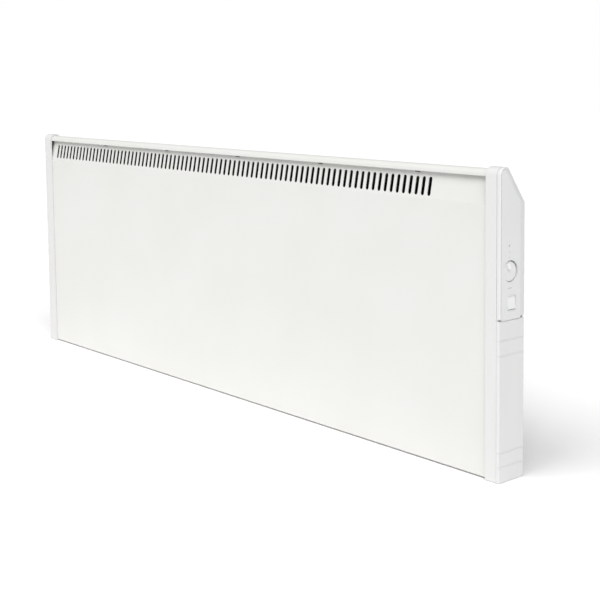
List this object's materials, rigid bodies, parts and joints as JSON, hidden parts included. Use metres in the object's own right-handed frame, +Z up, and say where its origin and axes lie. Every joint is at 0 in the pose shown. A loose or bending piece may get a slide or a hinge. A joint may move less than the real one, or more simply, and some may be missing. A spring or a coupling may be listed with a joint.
{
  "type": "baseboard heater",
  "caption": "Slim white electric wall heater with a folded steel front, a row of air slots under the top rail, moulded end caps and a dial and rocker switch on its right end.",
  "frame": {"origin": "under the middle of the heater, at the height of the surface it stands on", "axes": "+X along the heater to its control end, +Y to the wall behind it, +Z up"},
  "size_m": [1.137, 0.05, 0.4],
  "materials": {
    "enamelled_steel": "satin powder coat, white",
    "zinc_steel": "galvanised sheet",
    "white_plastic": "fine moulded grain, white",
    "housing_plastic": "fine moulded grain, light grey",
    "dial_plastic": "satin moulded",
    "marker_paint": "white inlay",
    "rocker_plastic": "gloss moulded",
    "switch_plastic": "gloss moulded",
    "black_plastic": "moulded",
    "lens": "smoke grey, clear",
    "board": "solder resist",
    "block_plastic": "moulded",
    "screw_steel": "zinc plated",
    "brass": "bright",
    "aluminium": "mill finish",
    "shield_black": "heat-proof black paint, matt",
    "rod_steel": "drawn",
    "ceramic_white": "steatite, stands in for ceramic",
    "grommet_rubber": "matt",
    "wire_brown": "silicone",
    "wire_blue": "silicone",
    "wire_green": "silicone",
    "wire_black": "silicone"
  },
  "bodies": {
    "case": {"back_panel": "zinc_steel", "block_screws": "screw_steel", "board_block": "block_plastic", "board_posts": "block_plastic", "board_screws": "screw_steel", "bottom_plate": "zinc_steel", "bracket_screws": "screw_steel", "cable_gland": "black_plastic", "case_screws": "screw_steel", "control_board": "board", "control_bulkhead": "zinc_steel", "control_housing": "housing_plastic", "cutout_clip": "zinc_steel", "earth_nuts": "brass", "earth_stud": "zinc_steel", "earth_tag": "zinc_steel", "earth_wire": "wire_green", "element_brackets": "zinc_steel", "element_bushes": "ceramic_white", "element_fins": "aluminium", "element_terminals": "brass", "element_wire": "wire_brown", "front_panel": "enamelled_steel", "gland_nut": "black_plastic", "grommet": "grommet_rubber", "heat_shield": "shield_black", "heating_rod": "rod_steel", "indicator_lens": "lens", "lamp": "lens", "left_end_cap": "white_plastic", "left_end_plate": "zinc_steel", "left_side_cover": "white_plastic", "live_wire": "wire_brown", "lower_side_cover": "white_plastic", "neutral_wire": "wire_blue", "potentiometer": "black_plastic", "rail_clips": "black_plastic", "rail_screws": "screw_steel", "rear_inserts": "screw_steel", "relay": "black_plastic", "return_wire": "wire_blue", "right_end_cap": "white_plastic", "right_end_plate": "zinc_steel", "room_sensor": "rod_steel", "sensor_holder": "block_plastic", "sensor_lead": "wire_black", "switch_body": "switch_plastic", "switch_terminals": "brass", "switched_wire": "wire_brown", "terminal_block": "block_plastic", "thermal_cutout": "black_plastic", "top_rail": "enamelled_steel"},
    "dial": {"dial": "dial_plastic", "dial_marker": "marker_paint", "dial_shaft": "screw_steel"},
    "rocker": {"rocker": "rocker_plastic"}
  },
  "joints": [
    {"name": "dial_turn", "type": "hinge", "parent": "case", "child": "dial", "pos_m": [0.567, -0.0057, 0.269], "axis": [1, 0, 0], "range_deg": [-160, 110]},
    {"name": "rocker_tilt", "type": "hinge", "parent": "case", "child": "rocker", "pos_m": [0.5648, -0.0034, 0.2292], "axis": [0, 1, 0], "range_deg": [0, 16]}
  ]
}
